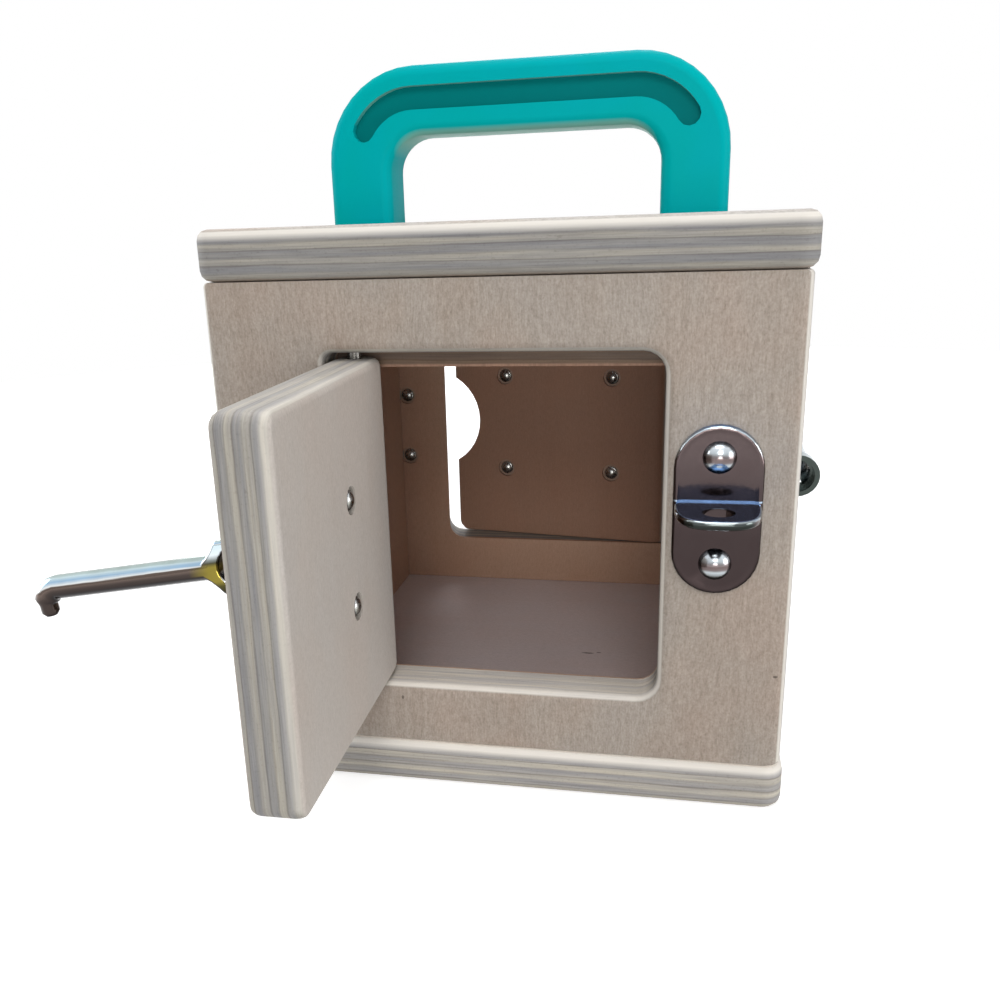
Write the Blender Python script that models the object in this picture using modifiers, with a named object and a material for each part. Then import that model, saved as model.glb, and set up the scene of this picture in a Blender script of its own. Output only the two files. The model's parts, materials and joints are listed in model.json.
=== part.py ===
"""Wooden lock box with three latched doors and a carrying handle. Metres, +Z up, front towards -Y.

Lengths below are in millimetres. The origin is the middle of the base plate's underside. Each door side is
drawn as if it were the front one, and then turned about Z: the front by 0, the right side by 90 and the back by
180 degrees. The doors stand as they do at rest: the front one open, the back one ajar, the right one shut.
"""

import math

import bmesh
import bpy
from mathutils import Matrix, Vector

MM = 0.001
GAP = 0.15

# Plates and walls
PLATE_HALF = 71.0
PLATE_THICK = 12.0
PLATE_CORNER = 5.0
PLATE_ROUND = 2.6
WALL_HALF = 70.0
WALL_THICK = 12.0
WALL_LOW = PLATE_THICK + GAP
WALL_HIGH = 130.0 - GAP
WALL_CORNER = 1.0
WALL_ROUND = 2.5
TOP_LOW = 130.0
SIDE_HALF = WALL_HALF - WALL_THICK - GAP

# Openings, in each side's own frame: from the hinge side to the free side
OPEN_HINGE = -41.0
OPEN_FREE = 39.7
BACK_FREE = 40.9
BACK_FLARE = 2.8
BACK_LIP = 0.6
BACK_HINGE_CORNER = 1.0
OPEN_LOW = 28.0
OPEN_HIGH = 113.0
OPEN_CORNER = 5.2
OPEN_HINGE_CORNER = 2.5

# Doors
HINGE_S = -34.4
HINGE_IN = 6.0
DOOR_HALF = 6.0
DOOR_FREE = 39.1
DOOR_LOW = 28.5
DOOR_HIGH = 111.2
DOOR_CORNER = 3.6
DOOR_ROUND = 2.0
BACK_ROUND = 0.5
BACK_LOW = 28.3
FRONT_OPEN = 88.7
BACK_OPEN = 8.0
NOTCH_S = 47.8
NOTCH_Z = 71.5
NOTCH_R = 17.9

# Pivot pins
PIN_R = 1.75
PIN_HOLE = 2.0
PIN_IN_DOOR = 7.5
PIN_IN_WALL = 7.0

# Stop strips behind the top rails
STRIP_LOW = 108.3
STRIP_TALL = 12.0
STRIP_DEEP = 10.0

# Hook latch: two oval plates with a lug, a hook and its pin
PLATE_W = 20.0
PLATE_H = 40.0
PLATE_T = 1.4
RIM_DEEP = 0.5
LUG_REACH = 16.0
LUG_HOLE_OUT = 8.6
LUG_HOLE_R = 3.6
LUG_SQUARE = 0.62
EYE_LUG = (0.2, 2.3)
HOOK_LUG = (-2.3, -0.1)
PLATE_RIVET = 12.6
EYE_S = 52.1
EYE_Z = 77.0
HOOK_S = -5.2
HOOK_Z = 71.0
HOOK_DROOP = 8.8
HOOK_LENGTH = 58.6
FORK_SINK = 1.0
FORK_INNER = 4.4
FORK_OUTER = 6.75
FORK_HALF = 2.8
FORK_CROTCH = 10.4
FORK_NECK = 17.5
NECK_HALF = 1.3
FORK_END = 4.2
FORK_ROUND = 1.0
ROD_R = 3.0
TIP_R = 2.2
TIP_LENGTH = 7.0
HOOK_PIN_R = 1.5

# Slide bolts
BOLT_HALF = 24.0
BOLT_TALL = 22.0
BOLT_PLATE_T = 1.2
BOLT_RIVET_S = 19.8
BOLT_RIVET_Z = 17.2
BARREL_HALF = 23.0
BARREL_AXIS = 4.6
BARREL_R = 4.7
BARREL_BORE = 3.6
COLLAR_LONG = 5.0
COLLAR_R = 5.7
FAR_COLLAR_R = 5.2
COLLAR_BORE = 4.4
COLLAR_DEEP = 3.5
BOLT_R = 3.0
BOLT_TAIL = -19.0
BOLT_TIP = 27.0
KNOB_S = -14.0
KNOB_STEM = 1.6
KNOB_R = 3.2
KNOB_SLOT = (-17.2, 17.4)
KEEPER_HALF = 4.5
KEEPER_R = 5.9
KEEPER_BORE = 4.5
KEEPER_EAR = 16.0
KEEPER_RIVET = 11.25
BACK_BOLT_Z = 70.8
BACK_KEEPER_S = 55.4
RIGHT_BOLT_Z = 74.0
RIGHT_KEEPER_S = 49.0
RIGHT_BOLT_SHIFT = 14.0

# Handle and its screws
HANDLE_X = -1.3
HANDLE_Y = -2.0
HANDLE_HALF = 8.7
HANDLE_OUT = 54.9
HANDLE_IN = 37.1
HANDLE_LOW = 142.0 + GAP
HANDLE_TOP = 182.7
GRIP_LOW = 164.9
HANDLE_OUT_R = 24.8
HANDLE_IN_R = 9.5
HANDLE_ROUND = 3.0
GROOVE_Z = 174.3
GROOVE_HALF = 3.0
GROOVE_DEEP = 2.5
GROOVE_TURN = 58.0
SCREW_X = 46.0
SCREW_R = 2.4
SCREW_HOLE = 2.7
SCREW_HEAD_R = 4.5
SCREW_UP = 13.0

PLY = ((0.66, 0.53, 0.40), 0.55, 0.0)
CHROME = ((0.75, 0.76, 0.78), 0.12, 1.0)
STEEL = ((0.62, 0.62, 0.62), 0.3, 1.0)
TEAL = ((0.0, 0.40, 0.42), 0.4, 0.0)

for old in list(bpy.data.objects):
    bpy.data.objects.remove(old)
parts = bpy.data.collections.new("lock_box")
cutters = bpy.data.collections.new("cutters")
for group in (parts, cutters):
    bpy.context.scene.collection.children.link(group)
cutters.hide_render = True


def arc(cx, cy, radius, start, stop, count):
    """Points on an arc, ends included, with angles in degrees."""
    turns = [math.radians(start + (stop - start) * i / count) for i in range(count + 1)]
    return [(cx + radius * math.cos(t), cy + radius * math.sin(t)) for t in turns]


def rounded_rect(x0, x1, y0, y1, radius, count=5, left=None):
    """A closed outline, counter-clockwise, from the lower right corner. left is another radius on that side."""
    r = max(radius, 0.05)
    q = r if left is None else left
    return (
        arc(x1 - r, y0 + r, r, -90, 0, count)
        + arc(x1 - r, y1 - r, r, 0, 90, count)
        + arc(x0 + q, y1 - q, q, 90, 180, count)
        + arc(x0 + q, y0 + q, q, 180, 270, count)
    )


def round_steps(radius, count=3):
    """(inset, depth) pairs of a rounded edge, from the face to the side."""
    turns = [math.pi / 2 * i / count for i in range(count + 1)]
    return [(radius * (1 - math.sin(t)), radius * (1 - math.cos(t))) for t in turns]


def skin(loops, ring=False):
    """A closed mesh through loops of equal length, capped at both ends or joined into a ring."""
    bm = bmesh.new()
    rows = [[bm.verts.new(p) for p in loop] for loop in loops]
    count = len(rows[0])
    last = len(rows) if ring else len(rows) - 1
    for i in range(last):
        low, high = rows[i], rows[(i + 1) % len(rows)]
        for j in range(count):
            k = (j + 1) % count
            bm.faces.new((low[j], low[k], high[k], high[j]))
    if not ring:
        bm.faces.new(rows[0])
        bm.faces.new(rows[-1])
    bmesh.ops.recalc_face_normals(bm, faces=bm.faces)
    return bm


def lathe(profile, segments=16):
    """A closed body of revolution about its own Z, from (radius, height) pairs that lie off the axis."""
    loops = []
    for radius, height in profile:
        turns = [2 * math.pi * i / segments for i in range(segments)]
        loops.append([(radius * math.cos(t), radius * math.sin(t), height) for t in turns])
    return skin(loops)


def tube(points, radii, segments=14):
    """A closed tube along points in the XZ plane."""
    loops = []
    for i, point in enumerate(points):
        ahead = Vector(points[min(i + 1, len(points) - 1)])
        behind = Vector(points[max(i - 1, 0)])
        along = (ahead - behind).normalized()
        side = Vector((0, 1, 0))
        up = side.cross(along)
        turns = [2 * math.pi * k / segments for k in range(segments)]
        loops.append([Vector(point) + radii[i] * (math.cos(t) * side + math.sin(t) * up) for t in turns])
    return skin(loops)


def merge(meshes):
    """Several separate closed bodies in one mesh, for a cutter."""
    whole = bmesh.new()
    for bm in meshes:
        data = bpy.data.meshes.new("piece")
        bm.to_mesh(data)
        whole.from_mesh(data)
        bpy.data.meshes.remove(data)
    return whole


def shifted(bm, matrix):
    bmesh.ops.transform(bm, matrix=matrix, verts=bm.verts)
    return bm


def make(name, bm, place, origin, collection):
    """An object from a mesh in millimetres: place carries it to the box's frame, origin becomes its own."""
    shifted(bm, place)
    shifted(bm, Matrix.Scale(MM, 4) @ Matrix.Translation(-Vector(origin)))
    bmesh.ops.recalc_face_normals(bm, faces=bm.faces)
    data = bpy.data.meshes.new(name)
    bm.to_mesh(data)
    obj = bpy.data.objects.new(name, data)
    obj.location = Vector(origin) * MM
    collection.objects.link(obj)
    return obj


def paint(obj, look):
    colour, rough, metal = look
    material = bpy.data.materials.new(obj.name)
    material.use_nodes = True
    shader = material.node_tree.nodes["Principled BSDF"]
    shader.inputs["Base Color"].default_value = (*colour, 1)
    shader.inputs["Roughness"].default_value = rough
    shader.inputs["Metallic"].default_value = metal
    obj.data.materials.append(material)


def piece(name, bm, look, place=Matrix(), origin=(0, 0, 0), cut=None, join=(), edge=0.0):
    """One sub-part: join and cut are meshes in bm's own frame, and edge rounds bm's edges first."""
    obj = make(name, bm, place, origin, parts)
    if edge:
        bevel = obj.modifiers.new("edge", "BEVEL")
        bevel.width = edge * MM
        bevel.segments = 2
        bevel.limit_method = "ANGLE"
        bevel.angle_limit = math.radians(50)
    steps = [("UNION", mesh) for mesh in join]
    if cut:
        steps.append(("DIFFERENCE", merge(cut)))
    for number, (operation, mesh) in enumerate(steps):
        tool = make(f"{name}_tool_{number}", mesh, place, origin, cutters)
        tool.display_type = "WIRE"
        modifier = obj.modifiers.new(operation.lower(), "BOOLEAN")
        modifier.operation = operation
        modifier.solver = "EXACT"
        modifier.use_self = operation == "DIFFERENCE"
        modifier.object = tool
    paint(obj, look)
    return obj


def rod(radius, low, high, x=0.0, y=0.0, segments=16):
    """An upright cylinder."""
    return shifted(lathe([(radius, low), (radius, high)], segments), Matrix.Translation((x, y, 0)))


def outward(s, z, out=0.0):
    """Carries a body drawn along +Z to the front face, pointing out of it."""
    return Matrix.Translation((s, -WALL_HALF - out, z)) @ Matrix.Rotation(math.pi / 2, 4, "X")


def through(radius, s, z, low, high, segments=16):
    """A cylinder along the outward direction, from low to high above the front face."""
    return shifted(lathe([(radius, low), (radius, high)], segments), outward(s, z))


def slab(outline, low, high, edge, both=True):
    """An upright slab between two levels: outline(inset) gives its plan."""
    steps = round_steps(edge)
    loops = []
    if both:
        loops += [[(x, y, low + d) for x, y in outline(i)] for i, d in steps]
    else:
        loops += [[(x, y, low) for x, y in outline(0)]]
    loops += [[(x, y, high - d) for x, y in outline(i)] for i, d in reversed(steps)]
    return skin(loops)


def plate_outline(inset):
    half = PLATE_HALF - inset
    return rounded_rect(-half, half, -half, half, PLATE_CORNER - inset)


def wall(half, corner, edge, free=OPEN_FREE, flare=0.0, lip=WALL_ROUND, hinge_corner=OPEN_HINGE_CORNER):
    """The front wall with its opening. Its upright outer edges and the opening's front edge are rounded.

    flare is how much further out the opening's free side stands at the front than at the back.
    """
    loops = []
    outer = [(0.0, WALL_THICK)] + [(i, d) for i, d in reversed(round_steps(edge))]
    for inset, depth in outer:
        outline = rounded_rect(-half + inset, half - inset, WALL_LOW, WALL_HIGH, corner)
        loops.append([(x, -WALL_HALF + depth, z) for x, z in outline])
    for grow, depth in [*round_steps(lip), (0.0, WALL_THICK)]:
        outline = rounded_rect(
            OPEN_HINGE - grow,
            free + grow + flare * (1 - depth / WALL_THICK),
            OPEN_LOW - grow,
            OPEN_HIGH + grow,
            OPEN_CORNER + grow,
            left=hinge_corner + grow,
        )
        loops.append([(x, -WALL_HALF + depth, z) for x, z in outline])
    return skin(loops, ring=True)


def door(r=DOOR_ROUND, bottom=DOOR_LOW):
    """A shut front door: half-round along the hinge, rounded by r everywhere else."""
    levels = (0.0, 0.15 * r, 0.45 * r, r, (r + DOOR_CORNER) / 2, DOOR_CORNER)
    heights = [(h, bottom + h) for h in levels] + [(h, DOOR_HIGH - h) for h in reversed(levels)]
    axis_y = -WALL_HALF + HINGE_IN
    loops = []
    for h, z in heights:
        drop = max(r - h, 0.0)
        inset = r - math.sqrt(r**2 - drop**2)
        drop = max(DOOR_CORNER - h, 0.0)
        end = DOOR_FREE - DOOR_CORNER + math.sqrt(DOOR_CORNER**2 - drop**2)
        half = DOOR_HALF - inset
        plan = arc(end - r, axis_y - half + r, r, -90, 0, 3)
        plan += arc(end - r, axis_y + half - r, r, 0, 90, 3)
        plan += arc(HINGE_S, axis_y, half, 90, 270, 10)
        loops.append([(x, y, z) for x, y in plan])
    return skin(loops)


def rivet(head_r, head_h, shank_r, tail_r, grip, seat, segments=12):
    """A dome-headed rivet along +Z: the head sits on seat, the tail is flush inside at -grip."""
    dome = [(head_r * math.cos(t), seat + head_h * math.sin(t)) for t in (0.0, 0.4, 0.8, 1.15, 1.45)]
    profile = [(tail_r - 0.4, -grip), (tail_r, -grip + 0.4), (tail_r, -grip + 0.8), (shank_r, -grip + 0.8)]
    profile += [(shank_r, seat), *dome]
    return lathe(profile, segments)


def rivet_cut(s, z, shank_r, tail_r):
    """The rivet's hole through a 12 mm board, with the recess for its tail."""
    floor = -WALL_THICK + 1.2
    wide = tail_r + 0.9
    narrow = shank_r + 0.25
    profile = [(wide, -WALL_THICK - 1), (wide, floor), (narrow, floor), (narrow, 1)]
    return [shifted(lathe(profile, 12), outward(s, z))]


def latch_plate(s, z, lug_span):
    """An oval plate with a raised rim and a lug. Returns the plate, what joins it and what is cut from it."""
    half = PLATE_W / 2
    floor = PLATE_T - RIM_DEEP
    rim = [(0.0, 0.0), (0.0, 0.5), (0.25, 1.1), (0.7, PLATE_T)]
    rim += [(1.1, PLATE_T), (1.6, PLATE_T - 0.25), (2.1, floor)]
    loops = []
    for inset, out in rim:
        wide = half - inset
        tall = PLATE_H / 2 - inset
        outline = rounded_rect(-wide, wide, -tall, tall, wide, 8)
        loops.append([(s + x, -WALL_HALF - GAP - out, z + y) for x, y in outline])

    # The lug: a squarish D in plan, its edges rounded
    face = GAP + PLATE_T
    root = -WALL_HALF - GAP - floor + 0.3
    low, high = (z + level for level in lug_span)
    turns = [math.pi * i / 20 for i in range(21)]
    levels = [(0.6, 0.0), (0.15, 0.3), (0.0, 0.7)]
    shells = [(i, low + d) for i, d in levels] + [(i, high - d) for i, d in reversed(levels)]
    lug = []
    for inset, level in shells:
        plan = [(s + half - 0.4 - inset, root)]
        for t in turns:
            x = math.copysign(abs(math.cos(t)) ** LUG_SQUARE, math.cos(t)) * (half - 0.4 - inset)
            plan.append((s + x, -WALL_HALF - face - (LUG_REACH - inset) * math.sin(t) ** LUG_SQUARE))
        plan.append((s - half + 0.4 + inset, root))
        lug.append([(x, y, level) for x, y in plan])
    eye = rod(LUG_HOLE_R, low - 1, high + 1, s, -WALL_HALF - face - LUG_HOLE_OUT, 24)
    holes = [through(2.25, s, z + off, -1, 4) for off in (-PLATE_RIVET, PLATE_RIVET)]
    return skin(loops), [skin(lug)], [eye, *holes]


def hook():
    """The hook with the pin's axis along Z through the origin, and the rod along +X."""
    upper = []
    for share in (i / 5 for i in range(6)):
        x = FORK_CROTCH + (FORK_NECK - FORK_CROTCH) * share
        upper.append((x, NECK_HALF + (FORK_OUTER - NECK_HALF) * (1 - share) ** 2 - 0.1))
    outside = [(-FORK_END, FORK_OUTER - 0.1), *upper]
    outside += [(x, -z) for x, z in reversed(upper)] + [(-FORK_END, 0.1 - FORK_OUTER)]
    centre = FORK_CROTCH - FORK_INNER
    inside = [(-FORK_END, -FORK_INNER), *arc(centre, 0, FORK_INNER, -90, 90, 10), (-FORK_END, FORK_INNER)]
    outline = outside + inside
    fork = skin([[(x, y, z) for x, z in outline] for y in (-FORK_HALF, FORK_HALF)])
    bend = [(HOOK_LENGTH - 4 + x, 0, -4 + z) for x, z in arc(0, 0, 4, 90, 0, 5)]
    points = [(FORK_CROTCH + 0.8, 0, 0), (FORK_CROTCH + 2.7, 0, 0), (FORK_NECK + 2, 0, 0), *bend]
    points += [(HOOK_LENGTH, 0, -TIP_LENGTH + 1), (HOOK_LENGTH, 0, -TIP_LENGTH)]
    radii = [ROD_R - 0.8] + [ROD_R] * (len(points) - 4) + [TIP_R, TIP_R, TIP_R - 0.8]
    # The fork's ends are rounded about the pin, and its arms are drilled for it.
    trims = []
    for side in (-1, 1):
        trim = [(1.0, side * FORK_HALF * 1.5), (-FORK_END - 1, side * FORK_HALF * 1.5)]
        trim += [(-FORK_END - 1, 0), (-FORK_END, 0)]
        turns = [math.radians(a) for a in (20, 40, 60, 75)]
        trim += [(-FORK_END * math.cos(t), side * FORK_HALF * math.sin(t)) for t in turns]
        trim += [(0.5, side * FORK_HALF)]
        trims.append(skin([[(x, y, z) for x, y in trim] for z in (-FORK_OUTER - 1, FORK_OUTER + 1)]))
    bore = rod(HOOK_PIN_R + 0.25, -FORK_OUTER - 2, FORK_OUTER + 2)
    return fork, [tube(points, radii)], [*trims, bore]


def half_round(radius, foot, start, end, z):
    """A bar along s with a half-round top about the barrel's axis and straight sides down to foot."""
    curve = [(BARREL_AXIS + out, h) for h, out in arc(0, 0, radius, 180, 0, 12)]
    outline = [(foot, -radius), *curve, (foot, radius)]
    return skin([[(s, -WALL_HALF - o, z + h) for o, h in outline] for s in (start, end)])


def bolt_base(z):
    """The slide bolt's plate and barrel, with a collar at either end, on the front face."""
    steps = [(0.0, 0.0)] + [(i, BOLT_PLATE_T - d) for i, d in reversed(round_steps(0.6, 2))]
    loops = []
    for inset, out in steps:
        wide = BOLT_HALF - inset
        tall = BOLT_TALL - inset
        outline = rounded_rect(-wide, wide, -tall, tall, 4.0 - inset)
        loops.append([(s, -WALL_HALF - GAP - out, z + h) for s, h in outline])
    sole = GAP + BOLT_PLATE_T
    end = BARREL_HALF
    shells = [half_round(BARREL_R, sole - 0.4, 0.5 - end, end - 0.5, z)]
    bores = [half_round(BARREL_BORE, sole, -end - 2, end + 2, z)]
    for side, radius in ((-1, COLLAR_R), (1, FAR_COLLAR_R)):
        shells.append(half_round(radius, sole - 0.5, side * end, side * (end - COLLAR_LONG), z))
        bores.append(half_round(COLLAR_BORE, sole, side * (end + 3), side * (end - COLLAR_DEEP), z))
    low, high = KNOB_SLOT
    wide = KNOB_STEM + 0.5
    slot = rounded_rect(low, high, BARREL_AXIS - wide, BARREL_AXIS + wide, wide - 0.1)
    slot = skin([[(s, -WALL_HALF - o, z - h) for s, o in slot] for h in (0.0, BARREL_R + 2)])
    spots = [(s, h) for s in (-BOLT_RIVET_S, BOLT_RIVET_S) for h in (-BOLT_RIVET_Z, BOLT_RIVET_Z)]
    holes = [through(1.85, s, z + h, -1, 4) for s, h in spots]
    return skin(loops), shells, [*bores, slot, *holes], spots


def bolt_rod(z, shift):
    """The bolt with its knob hanging down, moved by shift from where it is drawn back."""
    axis = Matrix.Translation((shift, -WALL_HALF - BARREL_AXIS, z))
    turn = axis @ Matrix.Rotation(math.pi / 2, 4, "Y")
    ends = [(BOLT_R * 0.3, BOLT_TAIL), (BOLT_R * 0.75, BOLT_TAIL + 0.5), (BOLT_R, BOLT_TAIL + 1.8)]
    ends += [(BOLT_R, BOLT_TIP - 3.0)]
    ends += [(BOLT_R * 0.9, BOLT_TIP - 1.5), (BOLT_R * 0.6, BOLT_TIP - 0.4), (BOLT_R * 0.25, BOLT_TIP)]
    shaft = shifted(lathe(ends, 18), turn)
    rise = COLLAR_R + 0.4
    knob = [(KNOB_STEM, 0.5), (KNOB_STEM, rise), (KNOB_R - 0.7, rise + 0.5), (KNOB_R, rise + 1.8)]
    knob += [(KNOB_R, rise + 4.2), (KNOB_R - 0.7, rise + 5.5), (KNOB_R - 2.2, rise + 6.2)]
    down = axis @ Matrix.Translation((KNOB_S, 0, 0)) @ Matrix.Rotation(math.pi, 4, "X")
    return shaft, [shifted(lathe(knob, 16), down)]


def keeper(s, z):
    """The bolt's keeper: a strap with two ears and a half-round arch."""
    ear = BOLT_PLATE_T
    over = arc(0, 0, KEEPER_R, 180, 0, 12)
    under = arc(0, 0, KEEPER_BORE, 0, 180, 12)
    outline = [(GAP + ear, -KEEPER_EAR), (GAP + ear, -KEEPER_R)]
    outline += [(BARREL_AXIS + o, h) for h, o in over]
    outline += [(GAP + ear, KEEPER_R), (GAP + ear, KEEPER_EAR), (GAP, KEEPER_EAR), (GAP, KEEPER_BORE)]
    outline += [(BARREL_AXIS + o, h) for h, o in under]
    outline += [(GAP, -KEEPER_BORE), (GAP, -KEEPER_EAR)]
    ends = (s - KEEPER_HALF, s + KEEPER_HALF)
    strap = skin([[(x, -WALL_HALF - o, z + h) for o, h in outline] for x in ends])
    return strap, [through(1.85, s, z + off, -1, 4) for off in (-KEEPER_RIVET, KEEPER_RIVET)]


def side_turn(degrees):
    return Matrix.Rotation(math.radians(degrees), 4, "Z")


def hinge_turn(degrees):
    """Opens a shut front door about its pins."""
    axis = Matrix.Translation((HINGE_S, -WALL_HALF + HINGE_IN, 0))
    return axis @ Matrix.Rotation(math.radians(-degrees), 4, "Z") @ axis.inverted()


def pin_cut():
    y = -WALL_HALF + HINGE_IN
    low = rod(PIN_HOLE, OPEN_LOW - PIN_IN_WALL - 0.5, DOOR_LOW + PIN_IN_DOOR + 0.5, HINGE_S, y)
    high = rod(PIN_HOLE, DOOR_HIGH - PIN_IN_DOOR - 0.5, OPEN_HIGH + PIN_IN_WALL + 0.5, HINGE_S, y)
    return [low, high]


def hinge_point(side):
    return side_turn(side) @ Vector((HINGE_S, -WALL_HALF + HINGE_IN, 0))


def pins_and_strip(label, side, reach):
    """The pivot pins and the stop strip of one side, all fixed to the wall."""
    y = -WALL_HALF + HINGE_IN
    ends = {
        "lower": (OPEN_LOW - PIN_IN_WALL, DOOR_LOW + PIN_IN_DOOR),
        "upper": (DOOR_HIGH - PIN_IN_DOOR, OPEN_HIGH + PIN_IN_WALL),
    }
    for which, (low, high) in ends.items():
        piece(f"{label}_{which}_pivot_pin", rod(PIN_R, low, high, HINGE_S, y), STEEL, side_turn(side))
    inside = -WALL_HALF + WALL_THICK + GAP + 0.1
    plan = rounded_rect(-reach, reach, inside, inside + STRIP_DEEP, 0.6, 1)
    levels = (STRIP_LOW, STRIP_LOW + STRIP_TALL)
    strip = skin([[(x, y, z) for x, y in plan] for z in levels])
    piece(f"{label}_stop_strip", strip, PLY, side_turn(side))


# Plates
base = slab(plate_outline, 0.0, PLATE_THICK, PLATE_ROUND)
piece("base_plate", base, PLY)
screw_holes = [rod(SCREW_HOLE, 120, 160, HANDLE_X + x, HANDLE_Y) for x in (-SCREW_X, SCREW_X)]
top = slab(plate_outline, TOP_LOW, TOP_LOW + PLATE_THICK, PLATE_ROUND)
piece("top_plate", top, PLY, cut=screw_holes)

# Front wall, door and hook latch
front = side_turn(0)
front_swing = front @ hinge_turn(FRONT_OPEN)
front_axis = hinge_point(0)
eye_spots = [EYE_Z - PLATE_RIVET, EYE_Z + PLATE_RIVET]
cuts = pin_cut()
for spot in eye_spots:
    cuts += rivet_cut(EYE_S, spot, 2.0, 2.9)
piece("front_panel", wall(WALL_HALF, WALL_CORNER, WALL_ROUND), PLY, front, cut=cuts)
pins_and_strip("front", 0, 50.0)

plate_seat = GAP + PLATE_T - RIM_DEEP + 0.05
plate, joined, holes = latch_plate(EYE_S, EYE_Z, EYE_LUG)
piece("eye_plate", plate, CHROME, front, cut=holes, join=joined)
for name, spot in zip(("lower", "upper"), eye_spots):
    body = shifted(rivet(3.8, 2.8, 2.0, 2.9, WALL_THICK - 0.3, plate_seat, 20), outward(EYE_S, spot))
    piece(f"eye_plate_{name}_rivet", body, CHROME, front)

hook_spots = [HOOK_Z - PLATE_RIVET, HOOK_Z + PLATE_RIVET]
cuts = pin_cut()
for spot in hook_spots:
    cuts += rivet_cut(HOOK_S, spot, 2.0, 2.5)
piece("front_door", door(), PLY, front_swing, front_axis, cut=cuts)
plate, joined, holes = latch_plate(HOOK_S, HOOK_Z, HOOK_LUG)
piece("hook_plate", plate, CHROME, front_swing, front_axis, cut=holes, join=joined)
for name, spot in zip(("lower", "upper"), hook_spots):
    body = shifted(rivet(3.8, 2.8, 2.0, 2.5, WALL_THICK - 0.3, plate_seat, 20), outward(HOOK_S, spot))
    piece(f"hook_plate_{name}_rivet", body, CHROME, front_swing, front_axis)

# The hook points straight out of the open door and droops on its loose pin.
pivot_out = GAP + PLATE_T + LUG_HOLE_OUT
pivot = Vector((HOOK_S, -WALL_HALF - pivot_out, HOOK_Z + sum(HOOK_LUG) / 2))
lean = Matrix.Rotation(math.radians(HOOK_DROOP), 4, "X")
aim = Matrix.Rotation(math.radians(-90), 4, "Z")
hook_place = front_swing @ Matrix.Translation(pivot) @ lean @ aim @ Matrix.Translation((0, 0, -FORK_SINK))
hook_origin = front_swing @ pivot
fork, joined, holes = hook()
piece("hook", fork, CHROME, hook_place, hook_origin, cut=holes, join=joined, edge=FORK_ROUND)
head = FORK_OUTER + 0.25
shape = [(1.6, -head - 1.4), (2.8, -head - 0.8), (2.8, -head), (HOOK_PIN_R, -head)]
shape += [(r, -h) for r, h in reversed(shape)]
piece("hook_pin", lathe(shape, 16), STEEL, hook_place, hook_origin)

# Back and right walls with their doors and slide bolts
finger_notch = through(NOTCH_R, NOTCH_S, NOTCH_Z, -WALL_THICK - 2, 2, 36)
walls = {
    "back": wall(WALL_HALF, WALL_CORNER, WALL_ROUND, BACK_FREE, BACK_FLARE, BACK_LIP, BACK_HINGE_CORNER),
    "right": wall(SIDE_HALF, 0.3, 0.2),
}
doors = {"back": door(BACK_ROUND, BACK_LOW), "right": door()}
sides = (
    ("back", 180, BACK_OPEN, BACK_BOLT_Z, 0.0, BACK_KEEPER_S, 50.0),
    ("right", 90, 0.0, RIGHT_BOLT_Z, RIGHT_BOLT_SHIFT, RIGHT_KEEPER_S, 46.0),
)
for label, side, ajar, bolt_z, shift, keeper_s, reach in sides:
    place = side_turn(side)
    swing = place @ hinge_turn(ajar)
    axis = hinge_point(side)
    cuts = pin_cut()
    for off in (-KEEPER_RIVET, KEEPER_RIVET):
        cuts += rivet_cut(keeper_s, bolt_z + off, 1.6, 2.3)
    piece(f"{label}_panel", walls[label], PLY, place, cut=cuts)
    pins_and_strip(label, side, reach)
    strap, holes = keeper(keeper_s, bolt_z)
    piece(f"{label}_keeper", strap, CHROME, place, cut=holes)
    seat = GAP + BOLT_PLATE_T + 0.05
    for name, off in (("lower", -KEEPER_RIVET), ("upper", KEEPER_RIVET)):
        body = shifted(rivet(3.0, 1.8, 1.6, 2.3, WALL_THICK - 0.3, seat), outward(keeper_s, bolt_z + off))
        piece(f"{label}_keeper_{name}_rivet", body, CHROME, place)
    plate, joined, holes, spots = bolt_base(bolt_z)
    cuts = pin_cut() + [finger_notch.copy()]
    for s, h in spots:
        cuts += rivet_cut(s, bolt_z + h, 1.6, 2.3)
    piece(f"{label}_door", doors[label], PLY, swing, axis, cut=cuts)
    piece(f"{label}_bolt_base", plate, CHROME, swing, axis, cut=holes, join=joined)
    shaft, joined = bolt_rod(bolt_z, shift)
    piece(f"{label}_bolt", shaft, CHROME, swing, axis, join=joined)
    for number, (s, h) in enumerate(spots, 1):
        body = shifted(rivet(3.0, 1.8, 1.6, 2.3, WALL_THICK - 0.3, seat), outward(s, bolt_z + h))
        piece(f"{label}_bolt_rivet_{number}", body, CHROME, swing, axis)

# Left wall
plan = rounded_rect(-WALL_HALF, -WALL_HALF + WALL_THICK, -SIDE_HALF, SIDE_HALF, 0.3, 1)
piece("left_panel", skin([[(x, y, z) for x, y in plan] for z in (WALL_LOW, WALL_HIGH)]), PLY)


def handle_outline(inset):
    """The outer and the inner line of the handle, from the left leg's foot to the right leg's."""
    a, b = HANDLE_OUT - inset, HANDLE_IN + inset
    outer_r, inner_r = HANDLE_OUT_R - inset, HANDLE_IN_R + inset
    high, low = HANDLE_TOP - inset, GRIP_LOW + inset
    outer = [(-a, HANDLE_LOW), *arc(-a + outer_r, high - outer_r, outer_r, 180, 90, 10)]
    outer += [*arc(a - outer_r, high - outer_r, outer_r, 90, 0, 10), (a, HANDLE_LOW)]
    inner = [(-b, HANDLE_LOW), *arc(-b + inner_r, low - inner_r, inner_r, 180, 90, 10)]
    inner += [*arc(b - inner_r, low - inner_r, inner_r, 90, 0, 10), (b, HANDLE_LOW)]
    return outer, inner


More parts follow.
